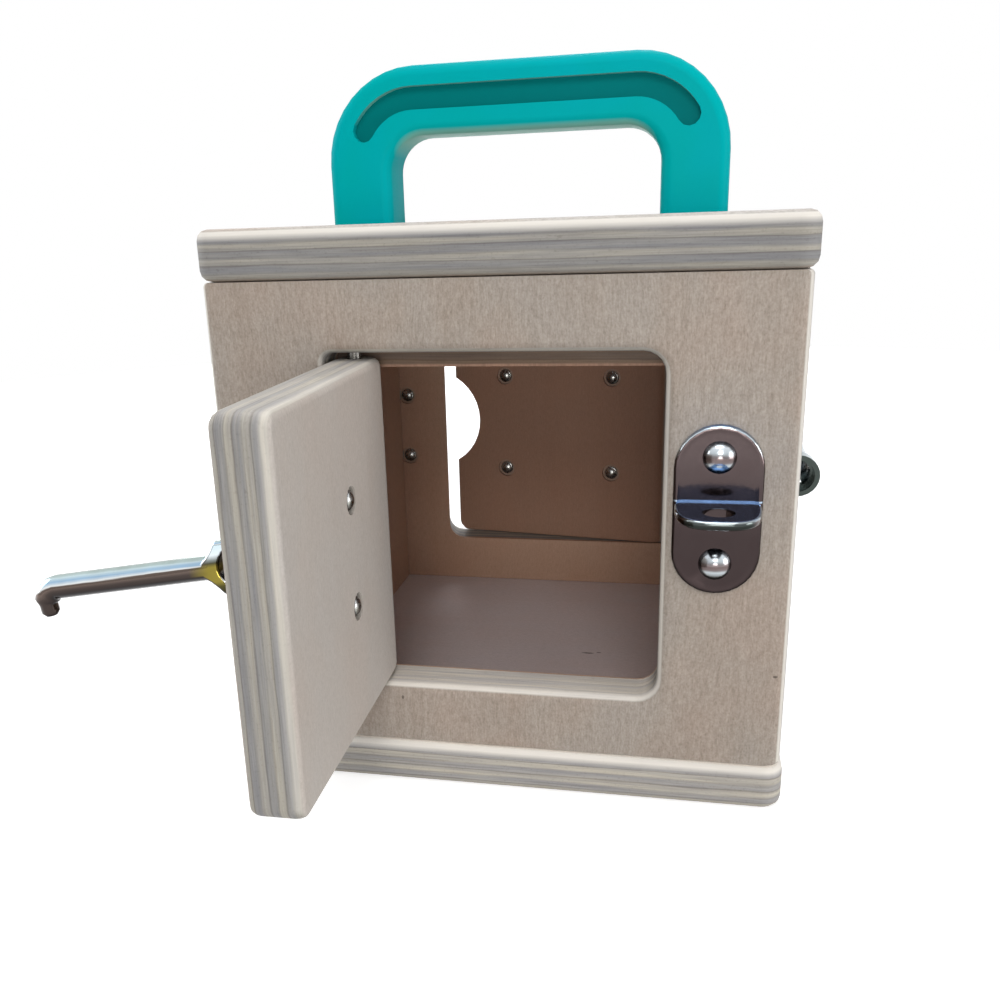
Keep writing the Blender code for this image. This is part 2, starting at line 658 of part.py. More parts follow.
# Handle: a section run round the outline, open at the two feet
section = [(i, HANDLE_Y - HANDLE_HALF + d) for i, d in reversed(round_steps(HANDLE_ROUND))]
far_side = [(i, HANDLE_Y + HANDLE_HALF - d) for i, d in round_steps(HANDLE_ROUND)]
outside_rows = [[(HANDLE_X + x, y, z) for x, z in handle_outline(i)[0]] for i, y in section]
inside_rows = [[(HANDLE_X + x, y, z) for x, z in handle_outline(i)[1]] for i, y in reversed(section)]
back_inside = [[(HANDLE_X + x, y, z) for x, z in handle_outline(i)[1]] for i, y in reversed(far_side)]
back_outside = [[(HANDLE_X + x, y, z) for x, z in handle_outline(i)[0]] for i, y in far_side]
rows = outside_rows + inside_rows + back_inside + back_outside
sections = [[row[i] for row in rows] for i in range(len(rows[0]))]
turn_x = HANDLE_OUT - HANDLE_OUT_R
turn_z = HANDLE_TOP - HANDLE_OUT_R
middle = GROOVE_Z - turn_z
left_end = 90 + GROOVE_TURN
right_end = 90 - GROOVE_TURN
groove = arc(-turn_x, turn_z, middle + GROOVE_HALF, left_end, 90, 8)
groove += arc(turn_x, turn_z, middle + GROOVE_HALF, 90, right_end, 8)
tip = math.radians(right_end)
tip_x = turn_x + middle * math.cos(tip)
tip_z = turn_z + middle * math.sin(tip)
groove += arc(tip_x, tip_z, GROOVE_HALF, right_end, right_end - 180, 6)[1:-1]
groove += arc(turn_x, turn_z, middle - GROOVE_HALF, right_end, 90, 8)
groove += arc(-turn_x, turn_z, middle - GROOVE_HALF, 90, left_end, 8)
groove += arc(-tip_x, tip_z, GROOVE_HALF, left_end + 180, left_end, 6)[1:-1]
face = HANDLE_Y - HANDLE_HALF
groove_cut = skin([[(HANDLE_X + x, y, z) for x, z in groove] for y in (face - 2, face + GROOVE_DEEP)])
foot_holes = [
    rod(SCREW_HOLE, 140, HANDLE_LOW + SCREW_UP + 1, HANDLE_X + x, HANDLE_Y) for x in (-SCREW_X, SCREW_X)
]
piece("carry_handle", skin(sections), TEAL, cut=[groove_cut, *foot_holes])
for name, x in (("left", -SCREW_X), ("right", SCREW_X)):
    under = TOP_LOW - GAP
    end = HANDLE_LOW + SCREW_UP
    profile = [(SCREW_HEAD_R - 1.2, under - 2.8), (SCREW_HEAD_R, under - 1.4), (SCREW_HEAD_R, under)]
    profile += [(SCREW_R, under), (SCREW_R, end - 1), (SCREW_R - 0.8, end)]
    body = shifted(lathe(profile), Matrix.Translation((HANDLE_X + x, HANDLE_Y, 0)))
    piece(f"handle_{name}_screw", body, STEEL)
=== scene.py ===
"""Dresses the lock box in birch plywood, bright metal and teal plastic, in the photograph's view."""

import json
import math

import bpy
from mathutils import Matrix, Vector


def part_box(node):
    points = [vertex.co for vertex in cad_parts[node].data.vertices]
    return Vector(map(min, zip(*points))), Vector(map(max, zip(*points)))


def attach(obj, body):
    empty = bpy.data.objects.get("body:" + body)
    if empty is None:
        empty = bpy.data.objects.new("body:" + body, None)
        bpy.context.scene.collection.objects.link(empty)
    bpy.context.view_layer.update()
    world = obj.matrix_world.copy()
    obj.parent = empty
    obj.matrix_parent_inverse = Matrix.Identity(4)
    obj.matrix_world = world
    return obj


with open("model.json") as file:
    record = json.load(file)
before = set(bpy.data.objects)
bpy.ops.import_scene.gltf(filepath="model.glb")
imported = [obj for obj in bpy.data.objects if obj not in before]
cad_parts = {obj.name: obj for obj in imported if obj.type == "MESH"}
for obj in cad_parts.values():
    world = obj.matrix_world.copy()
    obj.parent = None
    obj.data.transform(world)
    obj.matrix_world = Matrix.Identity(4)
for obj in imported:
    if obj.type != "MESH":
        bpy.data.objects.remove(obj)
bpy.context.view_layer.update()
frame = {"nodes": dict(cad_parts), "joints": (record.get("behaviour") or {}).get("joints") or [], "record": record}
nodes = frame["nodes"]
joints = {joint["name"]: joint for joint in frame["joints"]}
bodies = frame["record"]["behaviour"]["bodies"]
body_of = {node: body for body, held in bodies.items() for node in held}

MM = 0.001

# Boards, in millimetres: how thick they and their veneers are, and half the widths of inner faces
BOARD = 12.0
PLIES = 7
SKIN = 0.77
# A thicker inner veneer, so that the inner colour's painted shade also fills the rivets' recesses
RECESS_SHADE_SKIN = 1.9
INNER_HALF = 58.0
# Half the square within which the base keeps its inner colour; the ledge outside it is paler with painted light
LEDGE_HALF = 64.0
SEED_STEP = 13.7

# Shading: the angles in degrees above which edges stay sharp, and below which faces count as one
WOOD_SPLIT = 34.0
METAL_SPLIT = 46.0
FLAT_WITHIN = 0.5
WELD_WITHIN = 0.00001

# Small dark flecks in the veneer: place, length along the grain, width
PANEL_MARKS = (((67.4, -70, 36.1), 0.45, 0.8), ((-25.2, -70, 24.2), 0.8, 0.5))
FLOOR_MARKS = (((17.4, -7.5, 12), 2.6, 0.7), ((20.6, -6.8, 12), 1.2, 0.5))

# The photograph's camera: metres, degrees, and FOCAL and CENTRE in parts of the picture's width
CAMERA_AT = (0.04316, -0.29922, 0.14119)
CAMERA_YAW = -12.735
CAMERA_PITCH = -18.06
CAMERA_ROLL = -1.963
FOCAL = 1.0061
CENTRE = (0.4598, 0.5527)
SENSOR = 36.0
NEAREST = 0.01

# The studio: the floor's radius, sides and grey, what the lamps aim at, and the surround's light
FLOOR_R = 0.9
FLOOR_SIDES = 64
FLOOR_GREY = 0.66
FLOOR_GLOW = (0.66, 1.0)
FLOOR_FADE = (0.2, 0.7)
LAMP_AIM = (0, 0, 0.07)
SOFT_LIGHT = 0.2

# The hook's fork and the eye plate's lug, in millimetres, which place the painted highlights and shade on them
FORK_LONG = 17.5
FORK_SINK = 1.0
LUG_LOW = 0.2
LUG_HIGH = 2.3
LUG_EDGE = 10.5
HIGHLIGHT_ABOVE = 0.15

# Low domes on the rivets' inner ends, in millimetres
CAP_R = 3.0
CAP_SINK = 0.05
RIM_WITHIN = 0.02
CAP_RINGS = 6
CAP_SIDES = 24


def rgb(red, green, blue):
    """A linear colour from the 0 to 255 values that a picture shows."""
    channels = []
    for value in (red, green, blue):
        part = value / 255
        channels.append(part / 12.92 if part <= 0.04045 else ((part + 0.055) / 1.055) ** 2.4)
    return (*channels, 1.0)


# Veneers as the photograph shows them, some of them copies of the birch with painted light and shade, a painted
# reflection, and the handle's plastic
BIRCH = rgb(159, 149, 139)
BIRCH_COOL = rgb(184, 177, 170)
# Birch paler with painted light: the base's ledge and the plies that face up
BIRCH_LIT = rgb(243, 236, 227)
# Inner veneers: warm copies of the birch with painted shade and bounce light inside the box, and the inner floor's
# copy paler with painted light
BIRCH_INSIDE_SHADE = rgb(190, 155, 132)
BIRCH_DEEP_SHADE = rgb(166, 130, 109)
BIRCH_TAN_SHADE = rgb(202, 172, 150)
BIRCH_FLOOR_LIT = rgb(222, 209, 209)
# A painted highlight on the plies where the faces round over
LIP_HIGHLIGHT = rgb(236, 231, 223)
# A painted olive reflection for the hook's fork
OLIVE_REFLECTION = rgb(128, 116, 52)
TEAL = rgb(0, 168, 178)
TEAL_GREEN = rgb(0, 167, 169)
TEAL_GROOVE = rgb(0, 116, 116)
# The handle's underside, paler with painted light
TEAL_PALE = rgb(168, 202, 178)

# What the plies' colours are multiplied by
PLAIN = (1.0, 1.0, 1.0, 1)
DARKER = (0.84, 0.84, 0.84, 1)
DARKEST = (0.74, 0.745, 0.755, 1)
PALER = (1.12, 1.11, 1.10, 1)
# Painted shade for the stop strips inside the box
STRIP_SHADE = (0.45, 0.32, 0.24, 1)

RIGHT = Vector((1, 0, 0))
LEFT = Vector((-1, 0, 0))
BACK = Vector((0, 1, 0))
FRONT = Vector((0, -1, 0))
UP = Vector((0, 0, 1))
DOWN = Vector((0, 0, -1))


class Graph:
    """A small helper around a material's or world's nodes."""

    def __init__(self, tree):
        self.tree = tree
        tree.nodes.clear()

    def put(self, socket, value):
        """Links a node's output to a socket, or sets the socket to a plain value."""
        if isinstance(value, bpy.types.NodeSocket):
            self.tree.links.new(value, socket)
        else:
            socket.default_value = value

    def add(self, kind, inputs=None, output=0, **settings):
        """A new node with its inputs and settings. Returns one of its outputs."""
        node = self.tree.nodes.new(kind)
        for name, value in settings.items():
            setattr(node, name, value)
        for key, value in (inputs or {}).items():
            self.put(node.inputs[key], value)
        return node.outputs[output] if node.outputs else None

    def math(self, operation, *values):
        return self.add("ShaderNodeMath", dict(enumerate(values)), operation=operation)

    def dot(self, vector, axis):
        return self.add("ShaderNodeVectorMath", {0: vector, 1: axis}, output=1, operation="DOT_PRODUCT")

    def vector(self, x, y, z):
        return self.add("ShaderNodeCombineXYZ", {0: x, 1: y, 2: z})

    def noise(self, vector, scale, detail=3.0, rough=0.55):
        inputs = {"Vector": vector, "Scale": scale, "Detail": detail, "Roughness": rough}
        return self.add("ShaderNodeTexNoise", inputs)

    def span(self, value, low, high, to_low=0.0, to_high=1.0):
        """Maps the value from low to high onto another range, and holds it there."""
        inputs = {0: value, 1: low, 2: high, 3: to_low, 4: to_high}
        return self.add("ShaderNodeMapRange", inputs, clamp=True)

    def mix(self, factor, first, second, blend="MIX"):
        node = self.tree.nodes.new("ShaderNodeMix")
        node.data_type = "RGBA"
        node.blend_type = blend
        self.put(node.inputs["Factor"], factor)
        self.put(node.inputs["A"], first)
        self.put(node.inputs["B"], second)
        return node.outputs["Result"]

    def place_and_rise(self):
        """The place on the object in millimetres, and how far the surface faces up, from -1 to 1."""
        coordinates = self.tree.nodes.new("ShaderNodeTexCoord")
        inputs = {0: coordinates.outputs["Object"], "Scale": 1 / MM}
        place = self.add("ShaderNodeVectorMath", inputs, operation="SCALE")
        return place, self.dot(coordinates.outputs["Normal"], UP)

    def tinted(self, colour, layers, share=1.0):
        """Multiplies each layer's tint in as its value runs from low to high, up to its most."""
        for value, low, high, most, tint in layers:
            amount = self.math("MULTIPLY", self.span(value, low, high, 0.0, most), share)
            colour = self.mix(amount, colour, (*tint, 1), "MULTIPLY")
        return colour

    def ramp(self, factor, stops):
        """A colour that runs through the stops, each a place from 0 to 1 and a colour."""
        node = self.tree.nodes.new("ShaderNodeValToRGB")
        band = node.color_ramp
        while len(band.elements) < len(stops):
            band.elements.new(0.5)
        for element, (place, colour) in zip(band.elements, stops):
            element.position = place
            element.color = colour
        self.put(node.inputs[0], factor)
        return node.outputs[0]

    def bump(self, height, strength, distance):
        inputs = {"Height": height, "Strength": strength, "Distance": distance}
        return self.add("ShaderNodeBump", inputs)

    def principled(self, inputs):
        shader = self.add("ShaderNodeBsdfPrincipled", inputs)
        self.add("ShaderNodeOutputMaterial", {"Surface": shader})


def material(name):
    """A new material and the graph of its nodes."""
    made = bpy.data.materials.new(name)
    made.use_nodes = True
    return made, Graph(made.node_tree)


def plywood(
    name,
    outward,
    face,
    seed,
    grain=UP,
    front=BIRCH,
    inside=BIRCH_INSIDE_SHADE,
    tint=PLAIN,
    marks=(),
    ledge=None,
    lips=(1.0, 0.0),
    inner_skin=SKIN,
    inner_half=None,
    shelf=0.0,
):
    """Birch plywood, in millimetres.

    outward is the board's outer normal, face its place along that, and grain the faces' direction.
    front and inside are the colours of the outer and inner veneer; most inner colours are warm copies of the birch
    with painted shade and bounce light.
    tint multiplies the plies' colours.
    marks are small dark flecks in the face: place, length along the grain and width.
    ledge is half a square's side and the inner veneer's colour outside that square, paler with painted light.
    lips say how strong the painted highlights are on the plies where the outer and the inner face round over.
    inner_skin is the inner veneer's thickness, deeper on some boards so that the inner colour's painted shade
    fills the rivets' recesses, and inner_half half the width where its colour shows.
    shelf says how strong the painted highlight is on the plies that face up.
    """
    made, g = material(name)
    across = outward.cross(grain)
    place, rise = g.place_and_rise()
    along = g.dot(place, grain)
    beside = g.dot(place, across)
    depth = g.math("SUBTRACT", face, g.dot(place, outward))

    # The face veneer: broad clouds, soft streaks, short fine fibres and speckle, all along the grain
    def grain_noise(wide, long, shift, detail, rough=0.55):
        run = g.vector(g.math("DIVIDE", sway, wide), g.math("DIVIDE", along, long), seed + shift)
        return g.noise(run, 1.0, detail, rough)

    broad = g.vector(g.math("DIVIDE", beside, 30.0), g.math("DIVIDE", along, 90.0), seed)
    drift = g.noise(broad, 1.0, 2.0)
    sway = g.math("MULTIPLY_ADD", drift, 7.0, beside)
    clouds = grain_noise(26.0, 42.0, 1.0, 2.0)
    figure = grain_noise(6.0, 70.0, 2.0, 2.0)
    streaks = grain_noise(1.0, 20.0, 3.0, 3.0)
    fibres = grain_noise(0.40, 1.9, 4.0, 2.0)
    pores = grain_noise(0.34, 1.6, 5.0, 1.0)
    speckle = grain_noise(0.42, 0.55, 6.0, 1.0)
    within = g.span(depth, BOARD * 0.55, BOARD * 0.65)
    if inner_half:
        shown = g.span(g.math("ABSOLUTE", beside), inner_half + 0.3, inner_half)
        within = g.math("MULTIPLY", within, shown)
    # Outside the square, the base's ledge is paler with painted light
    if ledge:
        half, pale = ledge
        off = g.math("MAXIMUM", g.math("ABSOLUTE", along), g.math("ABSOLUTE", beside))
        inside = g.mix(g.span(off, half - 0.5, half + 0.5), inside, pale)
    # The inner veneer's colour, for most boards a copy with painted shade or painted light
    veneer = g.mix(within, front, inside)
    veneer_layers = (
        (clouds, 0.54, 0.36, 0.6, (1.03, 0.94, 0.90)),
        (clouds, 0.50, 0.68, 0.7, (0.97, 1.00, 1.04)),
        (figure, 0.48, 0.72, 0.4, (0.91, 0.88, 0.85)),
        (streaks, 0.52, 0.30, 0.5, (0.90, 0.88, 0.86)),
        (streaks, 0.52, 0.72, 0.5, (1.09, 1.10, 1.11)),
        (fibres, 0.50, 0.28, 0.9, (0.84, 0.82, 0.80)),
        (fibres, 0.50, 0.72, 0.9, (1.14, 1.14, 1.15)),
        (speckle, 0.50, 0.26, 0.9, (0.86, 0.85, 0.84)),
        (speckle, 0.50, 0.74, 0.9, (1.12, 1.12, 1.12)),
        (pores, 0.66, 0.74, 0.4, (0.66, 0.60, 0.55)),
    )
    veneer = g.tinted(veneer, veneer_layers, g.span(within, 0.0, 1.0, 1.0, 0.45))
    for spot, long, wide in marks:
        off_along = g.math("DIVIDE", g.math("SUBTRACT", along, Vector(spot).dot(grain)), long)
        off_beside = g.math("DIVIDE", g.math("SUBTRACT", beside, Vector(spot).dot(across)), wide)
        reach = g.math("ADD", g.math("POWER", off_along, 2.0), g.math("POWER", off_beside, 2.0))
        ragged = g.math("MULTIPLY_ADD", fibres, 1.2, reach)
        veneer = g.mix(g.span(ragged, 0.75, 1.25, 0.75, 0.0), veneer, rgb(62, 48, 42))

    # The edge: pale long grain and grey end grain by turns, parted by thin uneven glue lines
    def edge_noise(run, thick, shift, detail):
        sizes = ((beside, run), (along, run), (depth, thick))
        parts = [g.math("DIVIDE", value, size) for value, size in sizes]
        moved = g.add("ShaderNodeVectorMath", {0: g.vector(*parts), 1: (seed + shift, 0, 0)})
        return g.noise(moved, 1.0, detail)

    wander = g.math("SUBTRACT", edge_noise(45.0, 3.0, 6.0, 3.0), 0.5)
    level = g.math("MULTIPLY_ADD", wander, 1.5, depth)
    pair = g.math("FRACT", g.math("DIVIDE", level, 2 * BOARD / PLIES))
    plies = g.ramp(
        pair,
        [
            (0.0, rgb(154, 151, 146)),
            (0.08, rgb(174, 170, 161)),
            (0.40, rgb(170, 166, 158)),
            (0.48, rgb(132, 128, 124)),
            (0.56, rgb(150, 149, 148)),
            (0.88, rgb(147, 146, 146)),
            (1.0, rgb(154, 151, 146)),
        ],
    )
    # Plies that face up get a painted highlight
    plies = g.mix(g.span(rise, 0.5, 0.9, 0.0, shelf), plies, BIRCH_LIT)
    tone = edge_noise(36.0, 1.3, 7.0, 2.0)
    drawn = edge_noise(8.0, 0.26, 8.0, 3.0)
    lines = edge_noise(40.0, 0.42, 9.0, 2.0)
    ends = edge_noise(0.7, 0.5, 10.0, 2.0)
    blots = edge_noise(2.6, 0.9, 11.0, 2.0)
    edge_layers = (
        (tone, 0.46, 0.64, 0.9, (1.10, 1.08, 1.03)),
        (tone, 0.52, 0.34, 0.9, (0.88, 0.88, 0.91)),
        (lines, 0.46, 0.32, 0.7, (0.82, 0.80, 0.79)),
        (lines, 0.54, 0.70, 0.7, (1.14, 1.13, 1.11)),
        (drawn, 0.50, 0.28, 0.9, (0.85, 0.84, 0.84)),
        (drawn, 0.52, 0.74, 0.9, (1.13, 1.13, 1.13)),
        (ends, 0.56, 0.76, 0.5, (0.72, 0.70, 0.70)),
        (blots, 0.70, 0.78, 0.5, (0.62, 0.59, 0.56)),
    )
    plies = g.tinted(plies, edge_layers)

    # Painted highlights on the lips where the faces round over, none on lips that face down, and the outermost
    # veneer on both faces
    plies = g.mix(1.0, plies, tint, "MULTIPLY")
    height_in = g.math("SUBTRACT", BOARD, depth)
    for near, strength in zip((depth, height_in), lips):
        lip_highlight = g.math("MULTIPLY", g.span(near, 0.2, 0.7), g.span(near, 3.0, 1.5, 0.0, 0.55 * strength))
        plies = g.mix(g.math("MULTIPLY", lip_highlight, g.span(rise, -0.5, 0.0)), plies, LIP_HIGHLIGHT)
    below_skin = g.span(depth, SKIN * 0.5, SKIN)
    above_skin = g.span(height_in, inner_skin * 0.5, inner_skin)
    edge = g.math("MINIMUM", below_skin, above_skin)
    colour = g.mix(edge, veneer, plies)
    face_height = g.math("ADD", g.math("MULTIPLY", fibres, 0.7), g.math("MULTIPLY", pores, -0.6))
    height = g.mix(edge, face_height, g.math("MULTIPLY", drawn, 1.2))
    g.principled(
        {
            "Base Color": colour,
            "Roughness": g.span(streaks, 0.3, 0.7, 0.52, 0.66),
            "Specular IOR Level": 0.3,
            "Normal": g.bump(height, 0.2, 0.0002),
        }
    )
    return made


def metal(name, bands, rough, cloud=0.3, paint=None):
    """Bright plated metal.

    bands give its colour from surfaces that face down, at -1, to ones that face up, at 1: painted shade below,
    painted highlights and reflections above.
    paint may paint more highlights, reflections and shade into that colour: it is called with the graph, the
    place, the rise and the colour.
    """
    made, g = material(name)
    place, rise = g.place_and_rise()
    film = g.noise(place, 0.16, 4.0)
    marks = g.noise(place, 1.4, 5.0, 0.7)
    swayed = g.math("ADD", rise, g.math("MULTIPLY", g.math("SUBTRACT", film, 0.5), 0.10))
    shade = g.ramp(g.span(swayed, -1.0, 1.0), [((at + 1) / 2, colour) for at, colour in bands])
    if paint:
        shade = paint(g, place, rise, shade)
    shade = g.tinted(shade, [(film, 0.40, 0.66, cloud, (0.66, 0.62, 0.62))])
    g.principled(
        {
            "Base Color": shade,
            "Metallic": 1.0,
            "Roughness": g.span(marks, 0.35, 0.75, rough * 0.7, rough * 1.6),
            "Normal": g.bump(marks, 0.03, 0.0002),
        }
    )
    return made


def eye_painted_light(g, place, rise, shade):
    """The eye plate: painted shade below its lug, a thin painted highlight just above it where it meets the plate,
    and on the lug's front edge a painted highlight on top over painted shade.
    """
    low, high = (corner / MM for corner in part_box("eye_plate"))
    middle = (low.z + high.z) / 2
    face = outer_face("eye_plate_lower_rivet", FRONT)
    height = g.math("SUBTRACT", g.dot(place, UP), middle)
    upright = g.span(g.math("ABSOLUTE", rise), 0.4, 0.2)
    # Painted shade on the plate below the lug
    shaded_below = g.mix(1.0, shade, (0.58, 0.56, 0.56, 1), "MULTIPLY")
    shade = g.mix(g.span(height, -6.0, 13.0), shaded_below, shade)
    # A thin painted highlight on the plate just above the lug
    off = g.math("ABSOLUTE", g.math("SUBTRACT", height, LUG_HIGH + HIGHLIGHT_ABOVE))
    junction_highlight = g.math("MULTIPLY", upright, g.span(off, 0.3, 0.1))
    shade = g.mix(junction_highlight, shade, rgb(166, 186, 208))
    # The lug's front edge: a painted highlight on top and painted shade below
    edge = g.ramp(
        g.span(height, LUG_LOW, LUG_HIGH),
        [
            (0.0, rgb(38, 40, 38)),
            (0.50, rgb(50, 54, 52)),
            (0.74, rgb(88, 95, 94)),
            (0.92, rgb(190, 200, 204)),
            (1.0, rgb(222, 231, 236)),
        ],
    )
    proud = g.span(g.dot(place, FRONT), face + LUG_EDGE, face + LUG_EDGE + 1.0)
    return g.mix(g.math("MULTIPLY", proud, g.span(rise, 0.95, 0.8)), shade, edge)


def barrel_painted_reflection(g, place, rise, shade):
    """The slide bolt's barrel: a painted dark reflection on the end that faces the front."""
    facing = g.dot(g.add("ShaderNodeTexCoord", output="Normal"), FRONT)
    return g.mix(g.span(facing, 0.5, 0.9), shade, rgb(62, 68, 65))


def fork_painted_light(g, place, rise, shade):
    """The hook's fork: a painted olive reflection on its flat sides, a painted highlight on the upper arm and
    painted shade on the lower one.
    """
    pin = Vector(joints["hook_swing"]["pos_m"]) / MM
    axis = Vector(joints["hook_swing"]["axis"])
    above = g.math("SUBTRACT", g.dot(place, axis), pin.dot(axis) - FORK_SINK)
    upright = g.span(g.math("ABSOLUTE", rise), 0.4, 0.2)
    near = g.span(g.dot(place, RIGHT), pin.x - FORK_LONG, pin.x - FORK_LONG + 5.0)
    painted_arms = g.ramp(
        g.span(above, -6.0, 6.0),
        [
            (0.0, rgb(40, 40, 34)),
            (0.16, rgb(74, 70, 40)),
            (0.26, OLIVE_REFLECTION),
            (0.56, OLIVE_REFLECTION),
            (0.64, rgb(70, 68, 50)),
            (0.70, rgb(120, 126, 124)),
            (0.80, rgb(206, 216, 220)),
            (1.0, rgb(186, 204, 212)),
        ],
    )
    return g.mix(g.math("MULTIPLY", upright, near), shade, painted_arms)


def teal():
    """Moulded teal plastic: a fine skin, a darker groove and an underside paler with painted light."""
    made, g = material("teal_plastic")
    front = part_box("carry_handle")[0].y / MM
    place, rise = g.place_and_rise()
    facing = g.span(g.dot(g.add("ShaderNodeTexCoord", output="Normal"), FRONT), 0.6, 0.9)
    deep = g.span(g.dot(place, BACK), front + 0.8, front + 2.0)
    floor = g.math("MULTIPLY", facing, deep)
    tint = g.noise(place, 0.035, 2.0)
    skin = g.noise(place, 2.2, 4.0, 0.65)
    colour = g.mix(g.span(tint, 0.36, 0.66), TEAL, TEAL_GREEN)
    colour = g.mix(g.span(skin, 0.52, 0.80, 0.0, 0.35), colour, (0.80, 0.86, 0.86, 1), "MULTIPLY")
    colour = g.mix(g.math("MULTIPLY", floor, 0.92), colour, TEAL_GROOVE)
    # The underside is paler: painted light from below
    lit_underside = g.span(rise, -0.45, -0.85, 0.0, 0.5)
    colour = g.mix(lit_underside, colour, TEAL_PALE)
    g.principled(
        {
            "Base Color": colour,
            "Roughness": g.span(skin, 0.3, 0.7, 0.36, 0.46),
            "Specular IOR Level": 0.02,
            "Normal": g.bump(skin, 0.10, 0.0002),
        }
    )
    return made


def smooth(obj, angle):
    """Rounds a CAD node's shading where its faces meet below the angle, and leaves its points alone."""
    mesh = obj.data
    if "custom_normal" in mesh.attributes:
        mesh.attributes.remove(mesh.attributes["custom_normal"])
    mesh.polygons.foreach_set("use_smooth", [True] * len(mesh.polygons))
    weld = obj.modifiers.new("weld", "WELD")
    weld.merge_threshold = WELD_WITHIN
    flat = obj.modifiers.new("flat", "DECIMATE")
    flat.decimate_type = "DISSOLVE"
    flat.angle_limit = math.radians(FLAT_WITHIN)
    split = obj.modifiers.new("split", "EDGE_SPLIT")
    split.split_angle = math.radians(angle)
    even = obj.modifiers.new("even", "WEIGHTED_NORMAL")
    even.keep_sharp = True
    even.mode = "FACE_AREA_WITH_ANGLE"


def wear(obj, look):
    """Gives a CAD node one material."""
    obj.data.materials.clear()
    obj.data.materials.append(look)


def rivet_cap(node, outward, look):
    """A low dome on a rivet's inner end, which is flat in the frame."""
    side = outward.cross(UP)
    points = [vertex.co / MM for vertex in nodes[node].data.vertices]
    end = min(point.dot(outward) for point in points)
    rim = [point for point in points if point.dot(outward) < end + RIM_WITHIN]
    middle = outward * end
    for axis in (side, UP):
        spread = [point.dot(axis) for point in rim]
        middle = middle + axis * (min(spread) + max(spread)) / 2
    reach = max((point - middle).length for point in rim)
    half = math.asin(reach / CAP_R)
    rows = [(reach, -CAP_SINK)]
    for ring in range(CAP_RINGS):
        turn = half * (1 - ring / CAP_RINGS)
        rows.append((CAP_R * math.sin(turn), CAP_R * (math.cos(turn) - math.cos(half))))
    corners = []
    for radius, height in rows:
        for step in range(CAP_SIDES):
            turn = 2 * math.pi * step / CAP_SIDES
            around = side * math.cos(turn) + UP * math.sin(turn)
            corners.append(middle + radius * around - height * outward)
    corners.append(middle - CAP_R * (1 - math.cos(half)) * outward)
    top = len(corners) - 1
    faces = [list(reversed(range(CAP_SIDES)))]
    for step in range(CAP_SIDES):
        after = (step + 1) % CAP_SIDES
        for row in range(len(rows) - 1):
            low = row * CAP_SIDES
            faces.append([low + step, low + after, low + CAP_SIDES + after, low + CAP_SIDES + step])
        low = top - CAP_SIDES
        faces.append([low + step, low + after, top])
    mesh = bpy.data.meshes.new(f"{node}_cap")
    mesh.from_pydata([corner * MM for corner in corners], [], faces)
    mesh.polygons.foreach_set("use_smooth", [len(face) < CAP_SIDES for face in faces])
    mesh.materials.append(look)
    piece = bpy.data.objects.new(f"{node}_cap", mesh)
    bpy.context.scene.collection.objects.link(piece)
    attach(piece, body_of[node])


def door_out(joint_name, wall_outward):
    """A door's outward normal at rest: its wall's, turned back by what the hinge needs to shut."""
    joint = joints[joint_name]
    axis = Vector(joint["axis"])
    shut = joint["range_deg"][1] if wall_outward[1] < 0 else joint["range_deg"][0]
    turn = Matrix.Rotation(math.radians(-shut), 3, axis)
    return turn @ Vector(wall_outward)


def outer_face(node, outward):
    """How far a node reaches along outward, in millimetres."""
    return max(vertex.co.dot(outward) for vertex in nodes[node].data.vertices) / MM


front_out = door_out("front_door_hinge", FRONT)
back_out = door_out("back_door_hinge", BACK)
# The stop strips: painted shade, darker and warmer than the birch, with no lip highlights
strip = {"front": BIRCH_DEEP_SHADE, "tint": STRIP_SHADE, "lips": (0.0, 0.0)}

# The boards, each with its outward normal and what sets it apart. Their order sets their grain
boards = {
    "base_plate": (
        DOWN,
        {
            "grain": RIGHT,
            "inside": BIRCH_FLOOR_LIT,
            "tint": PALER,
            "marks": FLOOR_MARKS,
            "ledge": (LEDGE_HALF, BIRCH_LIT),
            "lips": (0.3, 1.4),
        },
    ),
    "top_plate": (
        UP,
        {"grain": RIGHT, "front": BIRCH_COOL, "inside": BIRCH, "tint": DARKEST, "lips": (1.4, 0.0)},
    ),
    "front_panel": (FRONT, {"marks": PANEL_MARKS, "inner_half": INNER_HALF, "shelf": 0.6}),
    "back_panel": (BACK, {"inner_skin": RECESS_SHADE_SKIN, "inner_half": INNER_HALF}),
    "left_panel": (LEFT, {"inside": BIRCH_TAN_SHADE}),
    "right_panel": (RIGHT, {"inner_skin": RECESS_SHADE_SKIN}),
    "front_door": (
        front_out,
        {"inside": BIRCH_COOL, "tint": DARKER, "lips": (0.0, 0.5), "shelf": 0.25},
    ),
    "back_door": (back_out, {"inside": BIRCH_DEEP_SHADE, "inner_skin": RECESS_SHADE_SKIN}),
    "right_door": (RIGHT, {"inner_skin": RECESS_SHADE_SKIN}),
    "front_stop_strip": (DOWN, {"grain": RIGHT, **strip}),
    "back_stop_strip": (DOWN, {"grain": RIGHT, **strip}),
    "right_stop_strip": (DOWN, {"grain": BACK, **strip}),
}
for seed, (node, (outward, options)) in enumerate(boards.items()):
    face = outer_face(node, outward)
    look = plywood(f"{node}_plywood", outward, face, seed * SEED_STEP, **options)
    wear(nodes[node], look)

